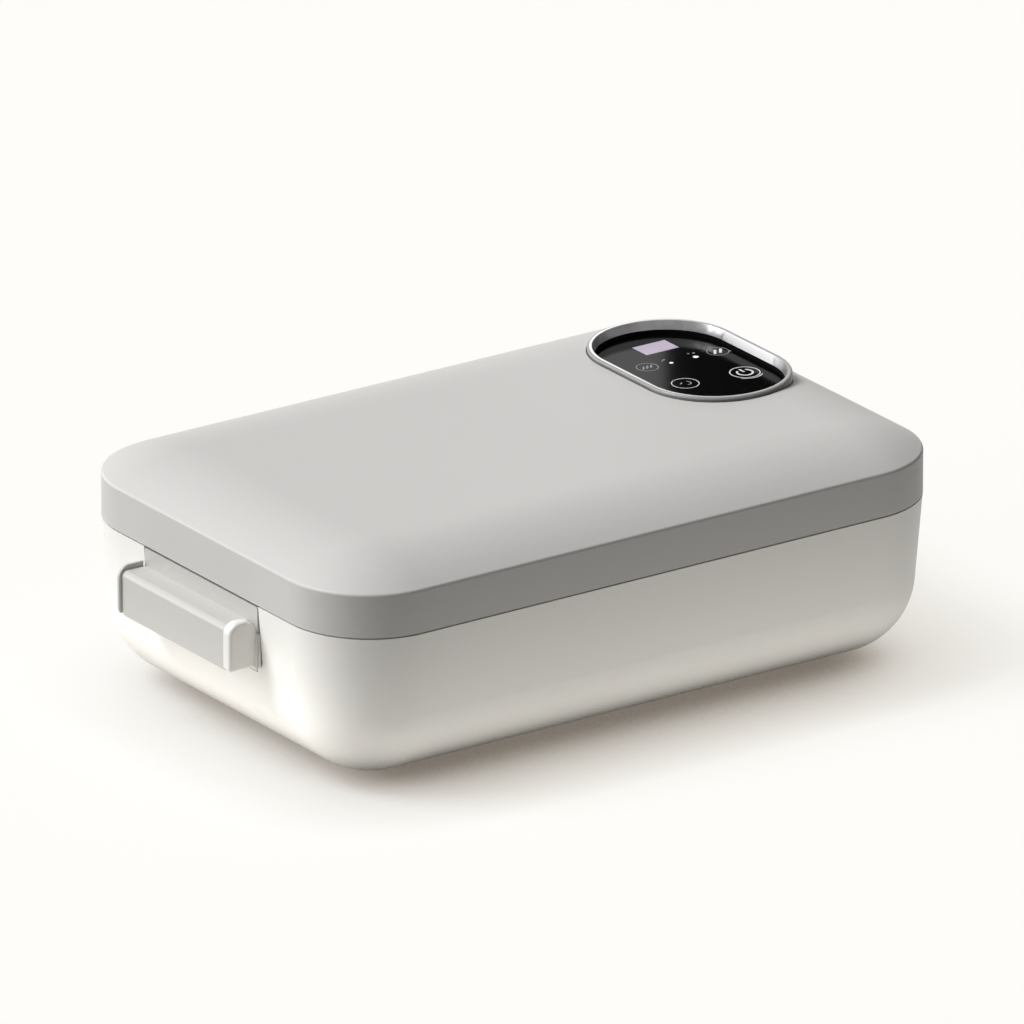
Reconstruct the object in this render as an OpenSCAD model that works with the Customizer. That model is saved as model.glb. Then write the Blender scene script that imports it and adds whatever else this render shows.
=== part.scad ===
// Electric lunch box: a flat heated food carrier with a hinged lid and a touch panel.
// Frame: origin on the resting plane under the middle of the box, +Z up.
// The latch is on the -X end, the hinge and the power inlet are on the +X end.

/* [Body] */
// Length over the lid band, along X
body_l = 240; // [200:1:300]
// Width over the lid band, along Y
body_w = 160; // [132:1:200]
// Plan radius of the four corners
corner_r = 30; // [29:0.5:34]
// Height of the parting line above the table
seam_z = 55.4; // [54:0.1:72]
// Wall of the white base shell
base_wall = 2.4; // [1.8:0.1:3]
// Rounding between the base's walls and its floor
base_fillet = 26.6; // [20:0.1:27]
// Inward slope of the base's walls, in degrees
base_draft = 4.66; // [1:0.01:5]
// Free height of the rubber feet
foot_h = 1.4; // [1:0.1:3]

/* [Lid] */
// Gap between the base and the lid band
seam_gap = 0.5; // [0.3:0.1:1]
// Height of the straight lid band
band_h = 14.6; // [12:0.1:20]
// Rise of the domed top above the band
dome_h = 8; // [5:0.1:12]
// Wall of the lid cover
lid_wall = 2.2; // [1.6:0.1:3]
// Rounding where the band meets the dome
edge_r = 1.2; // [0.6:0.1:3]

/* [Control panel] */
// Length of the black glass, along Y
glass_l = 73; // [60:1:76]
// Width of the black glass, along X
glass_w = 46; // [42:1:48]
// Centre of the glass from the middle of the box, along X
panel_x = 84.9; // [70:0.1:86]
// Centre of the glass from the middle of the box, along Y
panel_y = 21.8; // [0:0.1:26]
// Radial width of the metal bezel
bezel_w = 2.5; // [2:0.1:4]
// Height of the bezel's rim above the glass
bezel_rise = 4.6; // [3.6:0.1:5.4]
// Height of the bezel's straight inner wall, below its slope
bezel_step = 1.5; // [0.8:0.1:2]
// Thickness of the glass
glass_t = 1.5; // [1:0.1:2.5]
// Height of the bezel's rim above the top of the dome
bezel_proud = 1.5; // [0.5:0.1:2]

/* [Latch] */
// Length of the latch plate, along Y
latch_l = 64.4; // [50:0.1:80]
// Centre of the latch from the middle of the box, along Y
latch_y = 1.6; // [-3:0.1:3]
// Height of the latch plate
latch_h = 21.2; // [18:0.1:24]
// Thickness of the latch plate
latch_plate_t = 1.5; // [1.2:0.1:2]
// Height of the grip bar's front face
bar_h = 15.3; // [12:0.1:16]
// How far the grip bar stands out of the plate
bar_out = 9; // [6:0.1:12]
// Rounding of the grip bar's upper front edge
bar_r = 2; // [1.2:0.1:4]
// Wall of the hollow grip bar
bar_wall = 2.2; // [1.6:0.1:3]
// Thickness of the near end cap
cap_t = 4.5; // [3:0.1:6]
// Thickness of the far end plate
far_cap_t = 1.2; // [0.8:0.1:5]
// How far an end cap stands proud of the bar
cap_proud = 1; // [0.4:0.1:2]
// Radius of the latch pin
latch_pin_r = 1; // [0.8:0.1:1.2]

/* [Hinge] */
// Radius of the hinge barrel
hinge_r = 4; // [3.5:0.1:5]
// Radius of the hinge pin
hinge_pin_r = 1.5; // [1:0.1:2]
// Length of the hinge barrel
hinge_l = 84; // [60:1:90]
// Length of the base's middle hinge barrel
hinge_mid = 24.4; // [16:0.1:28]
// Length of each of the base's end hinge barrels
hinge_end = 11.8; // [8:0.1:14]

/* [Heating well] */
// Sheet thickness of the heating well
well_t = 1; // [0.8:0.1:1.5]
// Length of the electronics bay between the well and the base wall
bay_l = 21; // [18:0.5:26]
// Height of the well's floor above the table
well_z = 14; // [12:0.5:18]
// Sheet thickness of the food trays
tray_t = 0.8; // [0.6:0.1:1.2]
// Share of the tray length taken by the side tray
side_share = 0.36; // [0.3:0.01:0.45]

/* [Power inlet] */
// Depth of the inlet's centre below the well's ledge
inlet_drop = 16.2; // [14.2:0.1:18.2]
// Distance between the two inlet pins
inlet_pitch = 8.6; // [8.6:0.1:8.6]
// Radius of an inlet pin
inlet_pin_r = 1.2; // [1.2:0.1:1.2]

/* [Hidden] */

$fn = 72;
eps = 1;
running = 0.05;
pin_fit = 0.02;
slip = 0.3;

white = [0.96, 0.955, 0.945];
light_grey = [0.8, 0.8, 0.785];
satin_steel = [0.72, 0.73, 0.75];
bright_steel = [0.85, 0.86, 0.88];
rubber_grey = [0.6, 0.6, 0.6];
glass_black = [0.04, 0.04, 0.045];
board_green = [0.1, 0.4, 0.22];
brass = [0.8, 0.65, 0.3];

// Straight lengths between the corner centres
core_x = body_l - 2 * corner_r;
core_y = body_w - 2 * corner_r;

// Levels of the lid
lid_z = seam_z + seam_gap;
band_z = lid_z + band_h;
top_z = band_z + dome_h;
dome_arc_r = (pow(corner_r, 2) + pow(dome_h, 2)) / (2 * dome_h);
dome_centre_z = top_z - dome_arc_r;

// Rim stack of the base: ledge, well flange, seal
lip_groove = 4.5;
ledge_w = 6;
ledge_t = 3;
ledge_drop = 3.2;
ledge_z = seam_z - ledge_drop;
ledge_bite = 0.8;
flange_t = 1.2;
flange_inset = base_wall + lip_groove;
flange_z = ledge_z + flange_t;

// Heating well: its pan is shifted away from the electronics bay
well_inset = 11;
well_r = corner_r - well_inset;
well_draft = 3;
well_fillet = 10;
well_l = body_l - 2 * well_inset - bay_l;
well_x = -bay_l / 2;
well_core_x = well_l - 2 * well_r;
well_core_y = body_w - 2 * well_inset - 2 * well_r;

// Food trays
tray_inset = 3;
tray_r = well_r - well_t - tray_inset;
tray_draft = 4;
tray_fillet = 8;
tray_rim = 2.4;
tray_gap = 1;
tray_side = 1.2;
tray_drop = 2;
tray_top_z = ledge_z - tray_drop;
tray_span = well_l - 2 * (well_t + tray_side) - tray_gap;
side_l = tray_span * side_share - 2 * tray_rim;
main_l = tray_span * (1 - side_share) - 2 * tray_rim;
tray_w = body_w - 2 * (well_inset + well_t + tray_side + tray_rim);
main_x = well_x - well_l / 2 + well_t + tray_side + tray_rim + main_l / 2;
side_x = well_x + well_l / 2 - well_t - tray_side - tray_rim - side_l / 2;

// Underside
plate_l = 146;
plate_w = 84;
plate_r = 4;
plate_t = 2;
plate_lip = 8;
screw_r = 1.3;
screw_head_r = 2.7;
screw_head_h = 0.8;
screw_play = 0.15;
head_play = 0.2;
head_sunk = 1;
foot_r = 6;
foot_sunk = 1;
foot_play = 0.1;
foot_in_x = 8;
foot_in_y = 7;
foot_x = core_x / 2 - foot_in_x;
foot_y = core_y / 2 - foot_in_y;
boss_r = 3.2;
plate_boss_h = 5;
bore_stop = 0.8;
slot_l = 30;
slot_w = 2.4;
slot_pitch = 7;

// Heater stack
heater_l = 140;
heater_w = 88;
heater_t = 2;
heater_r = 6;
heater_z = well_z - heater_t;
element_l = 60;
element_w = 18;
element_t = 3;
element_gap = 40;
element_r = 2;
fuse_r = 2;
fuse_l = 12;
fuse_lead_r = 0.5;
fuse_gap = 14;
sensor_r = 3.5;
sensor_h = 3;
pad_t = 2;
pad_edge = 4;
lead_wire = [0.9, 0.9, 0.9];
lead_in = 4;

// Electronics bay
board_t = 1.6;
board_l = 60;
board_in = 6;
board_x = body_l / 2 - well_inset - bay_l + board_in;
board_y = -14;
board_z = 10;
board_top_gap = 8.2;
board_top_z = ledge_z - board_top_gap;
board_h = board_top_z - board_z;
rib_w = 3;
rib_h = 4;
// Each block on the board: place along Y, place down from its top, depth, length, height
board_blocks = [[-22, 16, 7, 14, 12], [-24, 30, 5, 10, 8]];
can_r = 3.2;
can_l = 6;
can_pitch = 9;
can_y = -4;
can_drop = 26;

// Inlet
inlet_depth = 16;
inlet_w = 16;
inlet_h = 8;
inlet_wall = 1.4;
inlet_flange = 2.2;
inlet_flange_t = 1.6;
inlet_proud = 0.6;
inlet_seat = 0.8;
inlet_floor = 2;
inlet_pin_l = 10;
inlet_pin_tail = 4;
inlet_z = ledge_z - inlet_drop;

// Contacts that feed the lid
lid_contact_y = -40;
lid_contact_l = 16;
lid_contact_w = lip_groove - 1;
lid_contact_in = 0.6;
lid_contact_x = body_l / 2 - base_wall - lip_groove + lid_contact_in;
lid_contact_h = 2.2;
contact_r = 0.8;
contact_pitch = 4;

// Hinge
hinge_gap = 0.4;
hinge_x = body_l / 2 + hinge_gap + hinge_r;
hinge_z = seam_z + seam_gap / 2;
knuckle_gap = 0.3;
hinge_pin_in = 0.5;

// Latch
latch_drop = 0.4;
latch_top_z = seam_z - latch_drop;
latch_bot_z = latch_top_z - latch_h;
latch_gap = 0.5;
plate_x = -body_l / 2;
pivot_in = 1.9;
pivot_drop = 4.5;
pivot_x = plate_x + latch_plate_t + pivot_in;
pivot_z = latch_top_z - pivot_drop;
ear_r = 1.7;
ear_t = 3;
ear_y = 24;
hub_r = 2.2;
hub_in = 8;
bar_top_z = latch_bot_z + bar_h;
bar_x = plate_x - bar_out;
bar_neck = 0.9;
bar_foot_r = 0.8;
bar_end_r = 2.2;
bar_ceiling = 3.7;
cap_over = 1.7;
cap_lift = 0.6;
cap_inset = 0.9;
cap_top_z = bar_top_z + cap_over;
cap_bot_z = latch_bot_z + cap_lift;
cap_r = 4.2;
cap_foot_r = 1.4;
cap_tail_z = cap_top_z - cap_r;
cap_tail_gap = 0.2;
cap_gap = 0.4;
cap_clear = 0.6;
latch_near_y = -latch_l / 2;
latch_far_y = latch_l / 2;
cap_near_y = latch_near_y + cap_inset;
bar_near_y = cap_near_y + cap_t + cap_gap;
bar_far_y = latch_far_y - cap_gap;
pocket_back = 6.8;
pocket_wall = 1.6;
pocket_r = 3;
tongue_t = 1.4;
tongue_in = 0.8;
tongue_x = pivot_x + tongue_in;
tongue_l = 10;
tongue_rise = 3.6;
tongue_top_z = lid_z + tongue_rise;
nose_out = 0.8;
nose_h = 1.4;
catch_t = 0.5;
catch_out = 0.9;
catch_h = 9;
catch_lift = 0.4;
spring_wire_r = 0.3;
spring_out = 0.8;
spring_play = 0.2;
spring_in = 0.6;
spring_leg = 7;
spring_leg_in = 2;

// Inner side of the lid
liner_t = 2;
liner_rise = 1.6;
liner_z = lid_z + liner_rise;
latch_notch_x = 6.2;
latch_notch_y = 2;
cable_half = [4, 0.4, 0.4];
cable_x = 8;
cable_in = 1;
cable_end = 10;
pad_block_h = 1.3;
seal_w = 2;
seal_rib = 0.6;
seal_rib_h = 2;
seal_in = 0.6;
lid_screw_in_x = 6;
lid_screw_out_y = 2;
lid_screw_x = core_x / 2 - lid_screw_in_x;
lid_screw_y = core_y / 2 + lid_screw_out_y;
lid_screw_l = 8;
lid_head_h = 0.9;
lid_head_sunk = 1.1;
lid_boss_r = 3.5;
inner_edge_r = 0.6;

// Control panel stack, from the bezel's rim down
bezel_top_z = top_z + bezel_proud;
glass_z = bezel_top_z - bezel_rise;
glass_flat = 1;
glass_r = (glass_w - glass_flat) / 2;
glass_play = 0.1;
bezel_rim = 1.6;
bezel_shelf = 1.4;
bezel_shelf_t = 1;
bezel_skirt = 1.5;
bezel_bot_z = glass_z - glass_t - bezel_shelf_t - bezel_skirt;
panel_floor_t = 1.8;
panel_floor_z = bezel_bot_z;
control_t = 1.6;
control_z = panel_floor_z - panel_floor_t - control_t;
control_lip = 2.2;
control_edge = 0.6;
display_x = panel_x + 3.4;
display_y = panel_y + 24.05;
display_w = 12.9;
display_l = 8.3;
display_t = 0.4;
display_edge = 1;
key_places = [[-9.3, 10.6], [18, 9.6], [-7.6, -8.5], [14.2, -11.2]];
key_spring_r = 2.4;
key_spring_wall = 0.6;
led_places = [[-0.5, 9.5], [9.2, 9.5]];
led_r = 0.8;
chip_place = [-5, -4];
chip_side = 10;
chip_t = 1.6;
buzzer_place = [4, 14];
buzzer_r = 5;
buzzer_h = 5;

// ---- plan and profile shapes ----

// A rectangle with true arcs at its corners, centred
module plan(x, y, r) {
    square([x - 2 * r, y], center = true);
    square([x, y - 2 * r], center = true);
    for (sx = [-1, 1])
        for (sy = [-1, 1])
            translate([sx * (x / 2 - r), sy * (y / 2 - r)])
                circle(r);
}

// A plate of that plan between two heights
module slab(x, y, r, z0, z1) {
    translate([0, 0, z0])
        linear_extrude(z1 - z0)
            plan(x, y, r);
}

// Sweeps a profile of the X-Z plane round a rectangle with square core sizes
module sweep_round(cx, cy) {
    for (quarter = [0:3]) {
        along_x = quarter % 2 == 0 ? cx : cy;
        along_y = quarter % 2 == 0 ? cy : cx;
        rotate([0, 0, quarter * 90])
            translate([along_x / 2, along_y / 2, 0]) {
                rotate_extrude(angle = 90)
                    children();
                rotate([90, 0, 0])
                    linear_extrude(along_y)
                        children();
            }
    }
}

// Profile of a pan's half: sloping wall, round foot, flat floor
module pan_profile(r, z0, z1, fillet, draft) {
    foot_u = r + (sin(draft) * (z0 + fillet - z1) - fillet) / cos(draft);
    wall_u = foot_u + fillet * cos(draft);
    wall_z = z0 + fillet - fillet * sin(draft);
    polygon([[0, z0], [foot_u, z0], [foot_u, z0 + fillet], [wall_u, wall_z], [r, z1], [0, z1]]);
    intersection() {
        translate([foot_u, z0 + fillet])
            circle(fillet);
        translate([foot_u, z0])
            square(fillet);
    }
}

// A filled pan: the swept profile and the block between the corners
module pan(cx, cy, r, z0, z1, fillet, draft) {
    sweep_round(cx, cy)
        pan_profile(r, z0, z1, fillet, draft);
    translate([-cx / 2, -cy / 2, z0])
        cube([cx, cy, z1 - z0]);
}

// The pan's hollow, set in by a wall and carried past its top
module pan_hollow(cx, cy, r, z0, z1, fillet, draft, wall) {
    inner_r = r - wall / cos(draft) + eps * tan(draft);
    pan(cx, cy, inner_r, z0 + wall, z1 + eps, fillet - wall, draft);
}

// Half profile of the lid: straight band, small edge arc, dome arc
module lid_profile(inset, edge, z0) {
    r = corner_r - inset;
    arc = dome_arc_r - inset;
    edge_z = dome_centre_z + sqrt(pow(arc - edge, 2) - pow(r - edge, 2));
    meet_u = arc * (r - edge) / (arc - edge);
    meet_z = dome_centre_z + arc * (edge_z - dome_centre_z) / (arc - edge);
    polygon([[0, z0], [r, z0], [r, edge_z], [r - edge, edge_z], [meet_u, meet_z], [0, meet_z]]);
    intersection() {
        translate([0, dome_centre_z])
            circle(arc);
        translate([0, meet_z])
            square([meet_u, arc]);
    }
    intersection() {
        translate([r - edge, edge_z])
            circle(edge);
        translate([r - edge, edge_z])
            square(edge);
    }
}

// The filled lid form, set in by a wall
module lid_form(inset, edge, z0) {
    sweep_round(core_x, core_y)
        lid_profile(inset, edge, z0);
    translate([-core_x / 2, -core_y / 2, z0])
        cube([core_x, core_y, top_z - inset - z0]);
}

// A ring that follows the outline, between two distances from the corner centres
module outline_ring(u0, u1, z0, z1) {
    sweep_round(core_x, core_y)
        translate([u0, z0])
            square([u1 - u0, z1 - z0]);
}

// The outer form of the base
module base_form() {
    pan(core_x, core_y, corner_r, foot_h, seam_z, base_fillet, base_draft);
}

// A round bar along Y, between two places
module rod_y(r, x, z, y0, y1) {
    translate([x, y1, z])
        rotate([90, 0, 0])
            cylinder(r = r, h = y1 - y0);
}

// A flat strip of wire between two points that lie along one axis
module strip(a, b, half) {
    low = [for (i = [0:2]) min(a[i], b[i]) - half[i]];
    high = [for (i = [0:2]) max(a[i], b[i]) + half[i]];
    translate(low)
        cube(high - low);
}

// ---- base ----

// Places of the four screws of the underside plate
function plate_screws() = [for (sx = [-1, 1]) for (sy = [-1, 1])
    [sx * (plate_l - plate_lip) / 2, sy * (plate_w - plate_lip) / 2]];

// Places of the four feet
function feet_places() = [for (sx = [-1, 1]) for (sy = [-1, 1]) [sx * foot_x, sy * foot_y]];

// Section of the latch opening, in Y and Z, with round lower corners
module latch_opening_plan() {
    width = latch_l + 2 * latch_gap;
    low_z = latch_bot_z - latch_gap;
    translate([latch_y - width / 2, low_z + pocket_r])
        square([width, seam_z - low_z]);
    translate([latch_y - width / 2 + pocket_r, low_z])
        square([width - 2 * pocket_r, seam_z - low_z]);
    for (side = [-1, 1])
        translate([latch_y + side * (width / 2 - pocket_r), low_z + pocket_r])
            circle(pocket_r);
}

// A prism of the latch opening, from the outside to a depth behind the plate's face
module latch_opening(depth) {
    translate([plate_x - eps, 0, 0])
        rotate([90, 0, 90])
            linear_extrude(depth + eps)
                latch_opening_plan();
}

// Moulded pocket behind the latch opening, trimmed to the inside of the wall
module latch_pocket() {
    width = latch_l + 2 * (latch_gap + pocket_wall);
    low_z = latch_bot_z - latch_gap - pocket_wall;
    intersection() {
        pan(core_x, core_y, corner_r - base_wall / 2, foot_h + base_wall / 2, seam_z,
            base_fillet - base_wall / 2, base_draft);
        translate([plate_x, latch_y - width / 2, low_z])
            cube([pocket_back + pocket_wall, width, ledge_z - low_z]);
    }
}

// Two ears in the pocket that hold the latch pin
module latch_ears() {
    for (side = [-1, 1])
        translate([0, latch_y + side * (ear_y + ear_t / 2), 0]) {
            rod_y(ear_r, pivot_x, pivot_z, -ear_t / 2, ear_t / 2);
            translate([pivot_x, -ear_t / 2, pivot_z - ear_r])
                cube([plate_x + pocket_back - pivot_x + pocket_wall / 2, ear_t, 2 * ear_r]);
        }
}

// Hinge barrels of the base: one in the middle and one at each end
module base_knuckles() {
    spans = [[-hinge_l / 2, -hinge_l / 2 + hinge_end], [-hinge_mid / 2, hinge_mid / 2],
        [hinge_l / 2 - hinge_end, hinge_l / 2]];
    for (span = spans) {
        rod_y(hinge_r, hinge_x, hinge_z, span[0], span[1]);
        translate([body_l / 2 - base_wall / 2, span[0], hinge_z - hinge_r])
            cube([hinge_x - body_l / 2 + base_wall / 2, span[1] - span[0], seam_z - hinge_z + hinge_r]);
    }
}

// Slotted ribs that stand the power board up in the bay
module board_ribs() {
    for (y = [board_y - board_l / 2 + board_in, board_y + board_l / 2 - board_in])
        difference() {
            translate([board_x - rib_w, y - rib_w / 2, foot_h + base_wall / 2])
                cube([2 * rib_w + board_t, rib_w, board_z + rib_h - foot_h - base_wall / 2]);
            translate([board_x - slip / 2, y - rib_w, board_z])
                cube([board_t + slip, 2 * rib_w, board_h]);
        }
}

module base_shell() {
    color(white)
        difference() {
            union() {
                difference() {
                    union() {
                        difference() {
                            base_form();
                            pan_hollow(core_x, core_y, corner_r, foot_h, seam_z, base_fillet,
                                base_draft, base_wall);
                        }
                        outline_ring(corner_r - base_wall - ledge_w, corner_r - base_wall + ledge_bite,
                            ledge_z - ledge_t, ledge_z);
                        latch_pocket();
                        for (p = plate_screws())
                            translate([p[0], p[1], foot_h + plate_t])
                                cylinder(r = boss_r, h = plate_boss_h);
                        intersection() {
                            base_form();
                            board_ribs();
                        }
                    }
                    latch_opening(pocket_back);
                }
                latch_ears();
                base_knuckles();
            }
            rod_y(latch_pin_r + pin_fit, pivot_x, pivot_z, latch_y - ear_y - ear_t - eps,
                latch_y + ear_y + ear_t + eps);
            rod_y(hinge_pin_r + pin_fit, hinge_x, hinge_z, -hinge_l / 2 - eps, hinge_l / 2 + eps);
            slab(plate_l + slip, plate_w + slip, plate_r, foot_h - eps, foot_h + plate_t);
            slab(plate_l - 2 * plate_lip, plate_w - 2 * plate_lip, plate_r / 2, foot_h,
                foot_h + 2 * base_wall);
            for (p = plate_screws())
                translate([p[0], p[1], foot_h])
                    cylinder(r = screw_r, h = plate_t + plate_boss_h - bore_stop);
            for (p = feet_places())
                translate([p[0], p[1], foot_h - eps])
                    cylinder(r = foot_r + foot_play, h = foot_sunk + eps);
            translate([body_l / 2 - inlet_depth, 0, inlet_z])
                inlet_body(slip, inlet_depth);
        }
}

module base_plate() {
    color(white)
        difference() {
            slab(plate_l, plate_w, plate_r, foot_h, foot_h + plate_t);
            for (p = plate_screws())
                translate([p[0], p[1], foot_h - eps]) {
                    cylinder(r = screw_r + head_play, h = plate_t + 2 * eps);
                    cylinder(r = screw_head_r + head_play, h = head_sunk + eps);
                }
            for (row = [-2:2])
                translate([0, row * slot_pitch, 0])
                    slab(slot_l, slot_w, slot_w / 2 - 0.01, foot_h - eps, foot_h + plate_t + eps);
        }
}

module feet() {
    color(rubber_grey)
        for (p = feet_places())
            translate([p[0], p[1], 0])
                cylinder(r = foot_r, h = foot_h + foot_sunk);
}

module base_screws() {
    color(satin_steel)
        for (p = plate_screws())
            translate([p[0], p[1], foot_h]) {
                translate([0, 0, head_sunk - screw_head_h])
                    cylinder(r = screw_head_r, h = screw_head_h);
                cylinder(r = screw_r - screw_play, h = plate_t + plate_boss_h - 2 * bore_stop);
            }
}

// ---- heating well and what heats it ----

module heating_well() {
    color(bright_steel)
        difference() {
            union() {
                slab(body_l - 2 * flange_inset, body_w - 2 * flange_inset, corner_r - flange_inset,
                    ledge_z, flange_z);
                translate([well_x, 0, 0])
                    pan(well_core_x, well_core_y, well_r, well_z, ledge_z + flange_t / 2, well_fillet,
                        well_draft);
            }
            translate([well_x, 0, 0])
                pan_hollow(well_core_x, well_core_y, well_r, well_z, flange_z, well_fillet,
                    well_draft, well_t);
        }
}

module heating_plate() {
    color(satin_steel)
        translate([well_x, 0, 0])
            slab(heater_l, heater_w, heater_r, heater_z, well_z);
}

module heater_elements() {
    color(light_grey)
        for (side = [-1, 1])
            translate([well_x, side * element_gap / 2, 0])
                slab(element_l, element_w, element_r, heater_z - element_t, heater_z);
}

module thermal_fuse() {
    color(bright_steel)
        translate([well_x + element_l / 2 + fuse_gap, 0, heater_z - fuse_r]) {
            rod_y(fuse_r, 0, 0, -fuse_l / 2, fuse_l / 2);
            rod_y(fuse_lead_r, 0, 0, -fuse_l, fuse_l);
        }
}

module temperature_sensor() {
    color(brass)
        translate([well_x, 0, heater_z - sensor_h])
            cylinder(r = sensor_r, h = sensor_h);
}

module insulation_pad() {
    color([0.9, 0.88, 0.8])
        translate([well_x, 0, 0])
            slab(element_l + 2 * pad_edge, 2 * element_w + element_gap, pad_edge,
                heater_z - element_t - pad_t, heater_z - element_t);
}

// ---- electronics bay ----

module power_board() {
    color(board_green)
        translate([board_x, board_y - board_l / 2, board_z])
            cube([board_t, board_l, board_h]);
}

module board_parts() {
    face_x = board_x + board_t;
    color([0.15, 0.16, 0.18]) {
        for (b = board_blocks)
            translate([face_x, board_y + b[0], board_top_z - b[1]])
                cube([b[2], b[3], b[4]]);
        for (step = [0:2])
            translate([face_x, board_y + can_y + step * can_pitch, board_top_z - can_drop])
                rotate([0, 90, 0])
                    cylinder(r = can_r, h = can_l);
    }
}

// Outline of the figure-eight inlet, in Y and Z
module inlet_plan(extra) {
    plan(inlet_w + 2 * extra, inlet_h + 2 * extra, inlet_h / 2 + extra - 0.01);
}

// The inlet's outer body along X
module inlet_body(extra, depth) {
    rotate([90, 0, 90])
        linear_extrude(depth + eps)
            inlet_plan(inlet_wall + extra);
}

module power_inlet() {
    face_x = body_l / 2 + inlet_proud;
    color([0.1, 0.1, 0.105])
        difference() {
            union() {
                translate([body_l / 2 - inlet_depth, 0, inlet_z])
                    rotate([90, 0, 90])
                        linear_extrude(face_x - body_l / 2 + inlet_depth)
                            inlet_plan(inlet_wall);
                translate([face_x - inlet_flange_t + inlet_seat, 0, inlet_z])
                    rotate([90, 0, 90])
                        linear_extrude(inlet_flange_t)
                            inlet_plan(inlet_wall + inlet_flange);
            }
            translate([body_l / 2 - inlet_depth + inlet_floor, 0, inlet_z])
                rotate([90, 0, 90])
                    linear_extrude(inlet_depth + 2 * eps + inlet_floor)
                        inlet_plan(0);
            for (side = [-1, 1])
                translate([body_l / 2 - inlet_depth - eps, side * inlet_pitch / 2, inlet_z])
                    rotate([0, 90, 0])
                        cylinder(r = inlet_pin_r, h = inlet_depth / 2);
        }
}

module inlet_pins() {
    color(brass)
        for (side = [-1, 1])
            translate([body_l / 2 - inlet_depth - inlet_floor, side * inlet_pitch / 2, inlet_z])
                rotate([0, 90, 0])
                    cylinder(r = inlet_pin_r, h = inlet_pin_l + inlet_pin_tail);
}

module heater_leads() {
    start_x = well_x + element_l / 2 + lead_wire[0];
    end_x = board_x - lead_wire[0];
    lead_z = heater_z - fuse_r;
    color([0.7, 0.15, 0.12])
        for (side = [-1, 1]) {
            lead_y = side * (element_gap / 2 - lead_in);
            strip([start_x, lead_y, lead_z], [end_x, lead_y, lead_z], lead_wire);
            strip([end_x, lead_y, lead_z], [end_x, lead_y, board_z + lead_in], lead_wire);
        }
}

module lid_contacts() {
    pin_z = ledge_z + lid_contact_h;
    color([0.15, 0.15, 0.16])
        translate([lid_contact_x, lid_contact_y, ledge_z])
            cube([lid_contact_w, lid_contact_l, lid_contact_h]);
    color(brass)
        for (step = [-1:1])
            translate([lid_contact_x + lid_contact_w / 2,
                lid_contact_y + lid_contact_l / 2 + step * contact_pitch, pin_z])
                cylinder(r = contact_r, h = liner_z - pad_block_h - slip - pin_z);
}

// ---- food trays ----

module tray(x, length) {
    cx = length - 2 * tray_r;
    cy = tray_w - 2 * tray_r;
    color(bright_steel)
        translate([x, 0, 0])
            difference() {
                union() {
                    pan(cx, cy, tray_r, well_z + well_t, tray_top_z, tray_fillet, tray_draft);
                    slab(length + 2 * tray_rim, tray_w + 2 * tray_rim, tray_r + tray_rim,
                        tray_top_z - tray_t, tray_top_z);
                }
                pan_hollow(cx, cy, tray_r, well_z + well_t, tray_top_z, tray_fillet, tray_draft,
                    tray_t);
            }
}

module food_tray() {
    tray(main_x, main_l);
}

module side_tray() {
    tray(side_x, side_l);
}

// ---- pins and spring ----

module hinge_pin() {
    color(satin_steel)
        rod_y(hinge_pin_r, hinge_x, hinge_z, -hinge_l / 2 + hinge_pin_in, hinge_l / 2 - hinge_pin_in);
}

module latch_pin() {
    color(satin_steel)
        rod_y(latch_pin_r, pivot_x, pivot_z, latch_y - ear_y - ear_t, latch_y + ear_y + ear_t);
}

module latch_spring() {
    coil_r = latch_pin_r + spring_out;
    coil_l = hub_in - spring_in;
    color(bright_steel)
        translate([pivot_x, latch_y, 0]) {
            difference() {
                rod_y(coil_r, 0, pivot_z, -coil_l, coil_l);
                rod_y(latch_pin_r + spring_play, 0, pivot_z, -hub_in, hub_in);
            }
            for (side = [-1, 1])
                translate([side * (coil_r - spring_wire_r), side * (hub_in - spring_leg_in),
                    pivot_z - spring_leg])
                    cylinder(r = spring_wire_r, h = spring_leg);
        }
}

// ---- lid ----

// Plan of a ring round the glass, set out by a distance
module panel_plan(out) {
    translate([panel_x, panel_y])
        plan(glass_w + 2 * out, glass_l + 2 * out, glass_r + out);
}

// Prism over that plan, between two heights
module panel_block(out, z0, z1) {
    translate([0, 0, z0])
        linear_extrude(z1 - z0)
            panel_plan(out);
}

// Places of the screws that hold the lid liner
function lid_screw_places() = [for (sx = [-1, 0, 1]) for (sy = [-1, 1])
    if (!(sx == 1 && sy == 1)) [sx * lid_screw_x, sy * lid_screw_y]];

// Hinge barrels of the lid, between those of the base
module lid_knuckles() {
    y0 = hinge_mid / 2 + knuckle_gap;
    y1 = hinge_l / 2 - hinge_end - knuckle_gap;
    for (side = [-1, 1]) {
        low = side > 0 ? y0 : -y1;
        rod_y(hinge_r, hinge_x, hinge_z, low, low + y1 - y0);
        translate([body_l / 2 - lid_wall / 2, low, lid_z])
            cube([hinge_x - body_l / 2 + lid_wall / 2, y1 - y0, hinge_z + hinge_r - lid_z]);
    }
}

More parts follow.
